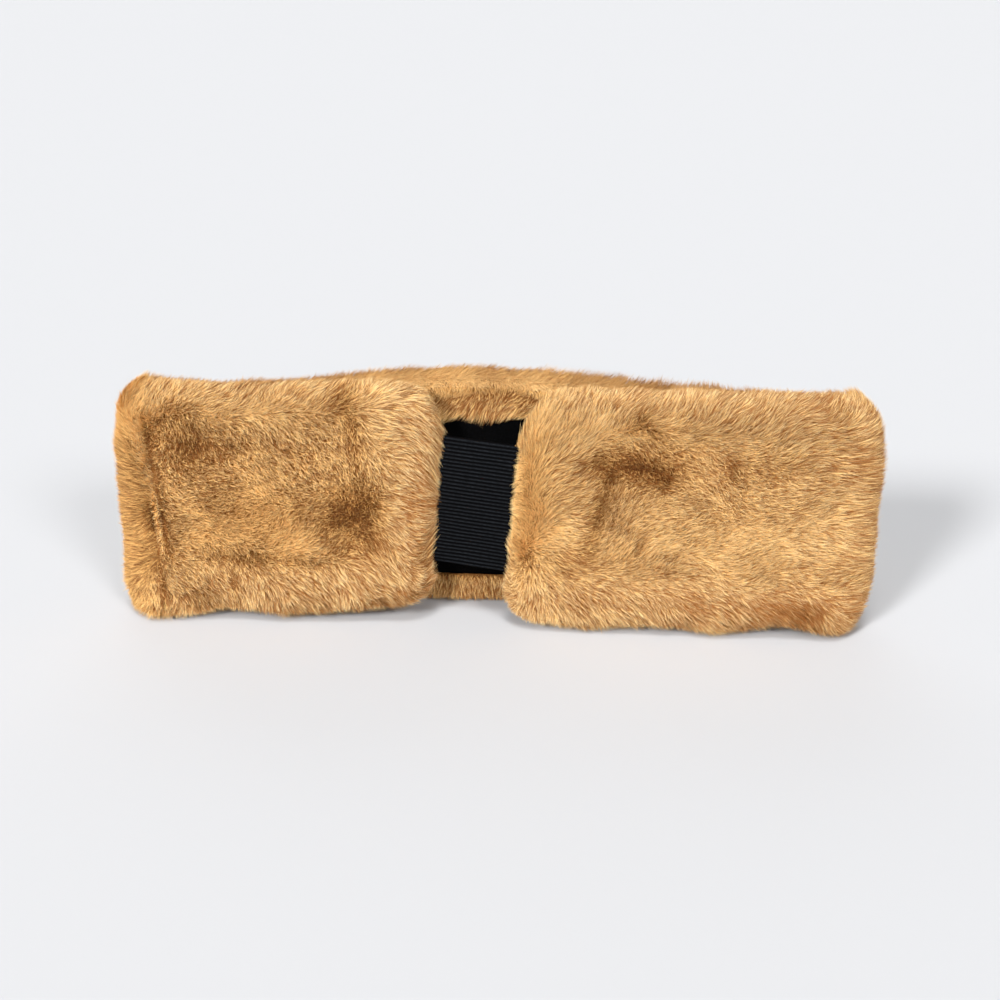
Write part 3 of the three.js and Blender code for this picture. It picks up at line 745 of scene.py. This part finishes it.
def colours(along, round_, zone, near, lying, sink, relief):
    """Each strand's tone, from dark to pale, and how bright it is from root to tip, with painted shade on
    sunk tips, in hollows, the crease and the hems, and painted light on the front of the head.
    """
    rise, change, gold = relief
    crease_at = HEM_CREASE + ripples(along, round_ * 0, *CREASE_WAVES)
    # painted shade along the crease where the upper hem's pile parts from the roll
    crease = bell(round_, crease_at, CREASE_WIDTH) * (1 - zone.end)
    inside = (round_ > crease_at) | (round_ < ROUND_FOOT)
    front = (1 - zone.elastic_side) * ~inside
    golder = np.where(inside, HEM_GOLD, FRONT_GOLD + CREST_GOLD * zone.crest) - END_GOLD * zone.end
    gold = gold + ELASTIC_SIDE_GOLD * zone.elastic_side + golder * (1 - zone.elastic_side)

    vary = TUFT_TONE * (near.tuft_tone - 0.5) + LOCK_TONE * (near.lock_tone - 0.5)
    vary = vary + WISP_TONE * (near.wisp_tone - 0.5) + OWN_TONE * rng.normal(0, 1, len(along))
    lively = 1 + LYING_VARY * np.maximum(lying - USUAL_LAY, 0)
    vary = vary * (FRONT_VARY * front + (1 - front) * lively) * np.where(inside, HEM_VARY, 1)
    vary *= 1 + LEFT_VARY * smoothstep(LEFT_FIELD_END - along, 0, LEFT_FIELD_FADE)
    tone = USUAL_TONE + vary + ripples(along, round_, *TONE_WAVES) + change
    # painted shade on sunk tips, and tone painted lighter on upright strands and darker on flat-lying ones,
    # offsetting the shade between upright strands
    tone = tone - SINK_PAINTED_SHADE * sink - LYING_PAINTED_LIGHT * (lying - USUAL_LAY)
    # painted shade on the folded-in hems, which face into the loop
    hem_painted_shade = inside * (1 - zone.end) * np.where(round_ < ROUND_FOOT, LOWER_HEM_PAINTED_SHADE, UPPER_HEM_PAINTED_SHADE)
    # painted light on the front of the head away from its crest, and pale tips along the upper hem's fringe
    paler = FRONT_PAINTED_LIGHT * front * (1 - zone.crest) + FRINGE_PALE * smoothstep(round_, ROUND - FRINGE, ROUND)
    tone = np.clip(tone - CREASE_PAINTED_SHADE * crease - hem_painted_shade + paler, 0, 1)

    # painted shade: tips in hollows and in strongly darkened places are dimmed, as is the crease
    shaded = HOLLOW_SHADE * np.minimum(rise, 0) + DARK_SHADE * np.minimum(change - DARK_FROM, 0)
    return tone, np.clip(1 - GOLD_SHADE * gold + shaded - CREASE_SHADE * crease, *SHADE_LIMITS)


def strands(count, low, high, bent):
    """Points, face corners, face sizes and bake places of strands that lie as combed.

    A bent strand has three triangles, and a straight one is a single triangle."""
    along, round_ = scatter_places(count, low, high)
    zone, near = zones_at(along, round_), centres_near(along, round_)
    root, tip, lying, beside = lay_over(along, round_, zone, near)
    sink, fluff = heights(along, round_, zone, near, beside, bent)
    out = out_at(*tip.T)[0]
    tip_point = band(*tip.T, sink) + out * fluff[:, None]
    behind = spread_edges(tip_point, tip, round_, zone)
    rows, shade, corners, sizes = strand_faces(root, tip, tip_point, out, sink, fluff, bent)

    relief = relief_at(tip[:, 0], tip_point[:, 2]) * zone.outer
    tone, bright = colours(along, round_, zone, near, lying, sink, relief)
    count, each, shade = len(along), len(rows), np.array(shade)
    # painted light: on the front's calm face and at its crest the roots are lifted towards the tips'
    # brightness, hiding the shade between strands
    root_painted_light = CALM_ROOT_PAINTED_LIGHT * zone.calm + CREST_ROOT_PAINTED_LIGHT * zone.crest * behind
    shade = np.clip(bright[:, None] * (shade + root_painted_light[:, None] * (1 - shade)), 0, 1)
    uv = np.stack([np.repeat(tone, each), shade.ravel()], 1)
    corners = (np.arange(count)[:, None] * each + np.array(corners)).ravel()
    return [np.stack(rows, 1).reshape(-1, 3), corners, np.tile(sizes, count), uv]


def part_of_pile(name, low, high, bent, straight, material):
    """A piece of the pile, with so many bent strands over a filling of straight ones."""
    over, under = strands(bent, low, high, True), strands(straight, low, high, False)
    under[1] += len(over[0])
    return new_piece(name, material, *(np.concatenate(both) for both in zip(over, under)))


FIRST_FOLD, LAST_FOLD = 0.232, 0.762  # the folds' middles, as shares of the length
# Parts of the pile: (name, first and last share of the length, face, bent strands, straight strands).
PILE_PARTS = [
    ("pile_back_left", 0, FIRST_FOLD, "outside", 28000, 112000),
    ("pile_back_right", LAST_FOLD, 1, "outside", 29000, 112000),
    ("pile_front_left", FIRST_FOLD, 0.5, "outside", 18000, 75000),
    ("pile_front_right", 0.5, LAST_FOLD, "outside", 18000, 75000),
    ("pile_hems_upper", 0, 1, "upper", 22000, 80000),
    ("pile_hems_lower", 0, 1, "lower", 12000, 50000),
]
FACES = {
    "outside": (ROUND_FOOT - FACE_OVER, ROUND_HEAD + FACE_OVER),
    "upper": (ROUND_HEAD + FACE_OVER, ROUND + 1),
    "lower": (-1, ROUND_FOOT - FACE_OVER),
}


def make_pile():
    """The pile of the outer faces and the hems, in several pieces."""
    material = pile_material()
    made = []
    for name, start, stop, face, bent, straight in PILE_PARTS:
        low = start * LENGTH if start > 0 else -END_BULGE
        high = stop * LENGTH if stop < 1 else LENGTH + END_BULGE
        lower, upper = FACES[face]
        made.append(part_of_pile(name, (low, lower), (high, upper), bent, straight, material))
    return made


# ---- Backing, lining and elastic ----

# Depths of the backing's two faces, how far it stays inside the pile's ends, and its points.
BACKING_DEPTHS, BACKING_INSET, BACKING_POINTS = (0.52, 0.9), 0.2, (171, 46)
HEM_BOTTOM, HEM_TOP = 12.2, 17.2  # heights that the hems cover
# The lining's distances from the ends and the hems, its faces' distances inwards, its points, and its
# puckers' height, limits and waves: (scale, size).
LINING_START, LINING_GAP, LINING_DEPTHS, LINING_POINTS = 12.3, 0.3, (1.5, 2.6), (180, 16)
PUCKER, PUCKER_LIMITS, LONG_PUCKERS, TALL_PUCKERS = 0.35, (-0.25, 0.9), (12, 1), (5, 0.6)
ELASTIC_WIDTH, ELASTIC_THICK, ELASTIC_TILT = 50, 1.6, math.radians(3.9)
ELASTIC_TUCK = 8  # how much of it each end of the band covers
RIBS, RIB_POINTS, RIB_RISE, RIBBED_WIDTH = 35, 6, 0.28, 47.2
ELASTIC_INSETS = (0.5, 0.3, 0.25)  # how much smaller it is at each end, edge and face
EDGE_ROLL, ELASTIC_STOPS = 0.8, 25
# How slack it lies: a sag with waves across and along it, and an unevenness.
SAG, SAG_ACROSS, SAG_ALONG, UNEVEN, UNEVEN_FROM = 0.25, 7, 16, 0.15, (300, 60)


def make_backing():
    """The fur's backing with its dense underfur: one sheet whose long edges are folded in."""
    stops, rows = BACKING_POINTS
    over = END_BULGE - BACKING_INSET
    along = np.linspace(-over, LENGTH + over, stops)
    ring = there_and_back(np.linspace(0, ROUND, rows))
    points = band(*grid(along, ring), np.tile(np.repeat(BACKING_DEPTHS, rows), stops))
    material = mottled_material("underfur", (0.20, 0.08, 0.02), (0.42, 0.19, 0.06), 1.6, 0.95, 0.6)
    return new_piece("fur_backing", material, points, *tube_faces(stops, len(ring)))


def make_lining():
    """The thin lining between the hems, slightly puckered."""
    stops, rows = LINING_POINTS
    along = np.linspace(LINING_START, LENGTH - LINING_START, stops)
    ring = there_and_back(np.linspace(0, 1, rows))
    a, share = grid(along, ring)
    bottom, top = edges(a)
    start, end = bottom + HEM_BOTTOM + LINING_GAP, top - HEM_TOP - LINING_GAP
    z = start + share * (end - start)
    waves = ripples(a, z, *LONG_PUCKERS) + ripples(a, z * 0.2, *TALL_PUCKERS)
    pucker = np.clip(PUCKER * waves * np.sin(np.pi * share) ** 0.5, *PUCKER_LIMITS)
    points = place(a, -np.tile(np.repeat(LINING_DEPTHS, rows), stops) - pucker, z)
    # the lining's own black, darkened further as painted shade inside the loop
    black, grey = (0.0008, 0.0008, 0.0008), (0.002, 0.002, 0.0024)
    material = mottled_material("lining_cloth", black, grey, 0.8, 0.9, 0.2)
    return new_piece("band_lining", material, points, *tube_faces(stops, len(ring)))


def webbing_material():
    """Black webbing whose ribs are a little lighter than the grooves between them, as painted shade in the
    grooves and painted highlight on the ribs.

    A point's bake place goes up from the bottom of a groove to the top of a rib."""
    material, nodes, link, shader = new_material("elastic_webbing")
    split = bake_place(nodes, link)
    place_ = nodes.new("ShaderNodeTexCoord")
    stretch = nodes.new("ShaderNodeVectorMath")
    stretch.operation = "MULTIPLY"
    set_inputs(stretch, {1: (0.5, 1, 2)})
    link(place_, "Object", stretch, 0)
    noise = noise_node(nodes, 0.5, 2)
    link(stretch, "Vector", noise, "Vector")
    speckle = ramp(nodes, [(0.35, (0.35, 0.35, 0.35)), (0.7, (1, 1, 1))])
    link(noise, "Fac", speckle, "Fac")
    # painted shade in the grooves and painted highlight on the ribs' tops
    rib = ramp(nodes, [(0.3, (0.0015, 0.0015, 0.002)), (0.9, (0.015, 0.017, 0.02))])
    link(split, "Y", rib, "Fac")
    product = colour_mix(nodes, link, rib, speckle)
    product.blend_type = "MULTIPLY"
    set_inputs(product, {MIX_FACTOR: 1})
    link(product, MIX_RESULT, shader, "Base Color")
    set_inputs(shader, {"Roughness": 0.7, "Specular IOR Level": 0.03})
    return material


def elastic_section():
    """The section's ring: its points across and through the elastic, and 0 in a groove to 1 on a rib."""
    count = RIBS * RIB_POINTS + 1
    _, at_edge, on_face = ELASTIC_INSETS
    width = np.linspace(-0.5, 0.5, count) * (ELASTIC_WIDTH - 2 * at_edge)
    rib = 0.5 - 0.5 * np.cos(np.linspace(0, RIBS * 2 * math.pi, count))
    thick = ELASTIC_THICK / 2 - on_face + RIB_RISE * rib * (np.abs(width) < RIBBED_WIDTH / 2)
    thick *= quarter_round(ELASTIC_WIDTH / 2 - on_face - np.abs(width), EDGE_ROLL)
    return there_and_back(width), there_and_back(thick, -thick), there_and_back(rib)


def make_elastic():
    """The flat ribbed elastic between the band's two ends, which are sewn over it."""
    start, end = (np.array(STATIONS[k][:2]) for k in (0, -1))
    gap = np.linalg.norm(end - start)
    across = (end - start) / gap
    middle = (start + end) / 2
    half = gap / 2 + ELASTIC_TUCK - ELASTIC_INSETS[0]
    ring_width, ring_thick, ring_rib = elastic_section()
    stops = np.linspace(-half, half, ELASTIC_STOPS)
    s, w = grid(stops, ring_width)
    uneven = UNEVEN * ripples(s + UNEVEN_FROM[0], w + UNEVEN_FROM[1], SAG_ALONG, 1)
    sag = SAG * np.sin(w / SAG_ACROSS + 1) * np.cos(s / SAG_ALONG)
    depth = np.tile(ring_thick, len(stops)) + (sag + uneven)
    x = s * math.cos(ELASTIC_TILT) + w * math.sin(ELASTIC_TILT)
    z = -s * math.sin(ELASTIC_TILT) + w * math.cos(ELASTIC_TILT) + LEAN_MIDDLE
    plan_x = middle[0] + across[0] * x + across[1] * depth
    plan_y = middle[1] + across[1] * x - across[0] * depth
    uv = np.stack([(s / half + 1) / 2, np.tile(ring_rib, len(stops))], 1)
    points = np.stack([plan_x, plan_y, z], 1)
    faces = tube_faces(len(stops), len(ring_width))
    return new_piece("ribbed_elastic", webbing_material(), points, *faces, uv)


# ---- Floor, lights and camera ----

CAMERA_AZIMUTH, CAMERA_ELEVATION = 4.3, 24  # degrees
CAMERA_DISTANCE = 0.600  # metres
CAMERA_LENS, CAMERA_SENSOR = 60, 36
CAMERA_TARGET = np.array([2.2, 0, 45])
FLOOR_REACH, BACKDROP_HEIGHT, BACKDROP_SIDES = 9, 6, 96  # metres
PAPER = (0.580, 0.586, 0.602)
SKY = 0.22  # brightness of the even light from all round
# The lights: (name, azimuth, elevation, how wide it looks, strength), with angles in degrees.
LIGHTS = [
    ("key", -30, 31, 12, 3),
    ("fill", 34, 34, 16, 1.3),
    ("top", 0, 66, 16, 1.5),
    ("back", 195, 24, 60, 0.9),
]


def direction(azimuth, elevation):
    """The unit vector towards an azimuth, counted from -Y towards +X, and an elevation, in degrees."""
    azimuth, elevation = math.radians(azimuth), math.radians(elevation)
    flat = math.cos(elevation)
    return Vector((math.sin(azimuth) * flat, -math.cos(azimuth) * flat, math.sin(elevation)))


def make_camera():
    """The camera, a little above its target."""
    data = bpy.data.cameras.new("camera")
    data.lens = CAMERA_LENS
    data.sensor_width = CAMERA_SENSOR
    camera = new_object("camera", data)
    back = direction(CAMERA_AZIMUTH, CAMERA_ELEVATION)
    camera.location = Vector((CAMERA_TARGET + SHIFT) * MM) + back * CAMERA_DISTANCE
    camera.rotation_euler = (-back).to_track_quat("-Z", "Y").to_euler()
    bpy.context.scene.camera = camera


def far_light(name, azimuth, elevation, spread, strength):
    """A soft light so far off that it falls evenly."""
    data = bpy.data.lights.new(name, "SUN")
    data.angle = math.radians(spread)
    data.energy = strength
    light = new_object(name, data)
    towards = direction(azimuth, elevation)
    light.location = towards * 2
    light.rotation_euler = towards.to_track_quat("Z", "Y").to_euler()


def plain_sheet(name, rings, faces, colour, glow):
    """A piece of the stage in one even colour, which it reflects or glows with."""
    mesh = bpy.data.meshes.new(name)
    mesh.from_pydata(np.vstack(rings).tolist(), [], faces)
    material, _, _, shader = new_material(name)
    reflected = (0, 0, 0, 1) if glow else (*colour, 1)
    set_inputs(shader, {"Specular IOR Level": 0, "Base Color": reflected})
    set_inputs(shader, {"Emission Color": (*colour, 1), "Emission Strength": glow})
    sheet = new_object(name, mesh, material)
    return sheet


def make_stage():
    """A wide floor, a backdrop all round that looks as bright, and soft light."""
    sides = np.arange(BACKDROP_SIDES)
    angle = sides * 2 * math.pi / BACKDROP_SIDES
    foot, head = (
        np.stack([FLOOR_REACH * np.cos(angle), FLOOR_REACH * np.sin(angle), 0 * angle + z], 1)
        for z in (0, BACKDROP_HEIGHT)
    )
    following = (sides + 1) % BACKDROP_SIDES
    walls = np.stack([sides, following, BACKDROP_SIDES + following, BACKDROP_SIDES + sides], 1)
    falling = sum(strength * math.sin(math.radians(elevation)) for _, _, elevation, _, strength in LIGHTS)
    plain_sheet("floor", [foot], [sides.tolist()], PAPER, 0)
    backdrop = plain_sheet("backdrop", [foot, head], walls.tolist(), PAPER, SKY + falling / math.pi)
    backdrop.visible_diffuse = backdrop.visible_glossy = backdrop.visible_shadow = False
    world = bpy.data.worlds.new("studio")
    bpy.context.scene.world = world
    world.use_nodes = True
    sky = world.node_tree.nodes["Background"]
    set_inputs(sky, {"Color": (1, 1, 1, 1), "Strength": SKY})
    for light in LIGHTS:
        far_light(*light)
    bpy.context.scene.view_settings.view_transform = "Standard"


make_camera()
make_stage()
pile = make_pile()
backing = make_backing()
lining = make_lining()
elastic = make_elastic()

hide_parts("fur_band")
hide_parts("lining")
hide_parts("elastic_strap")
for piece in [backing, lining, elastic, *pile]:
    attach(piece, "root")
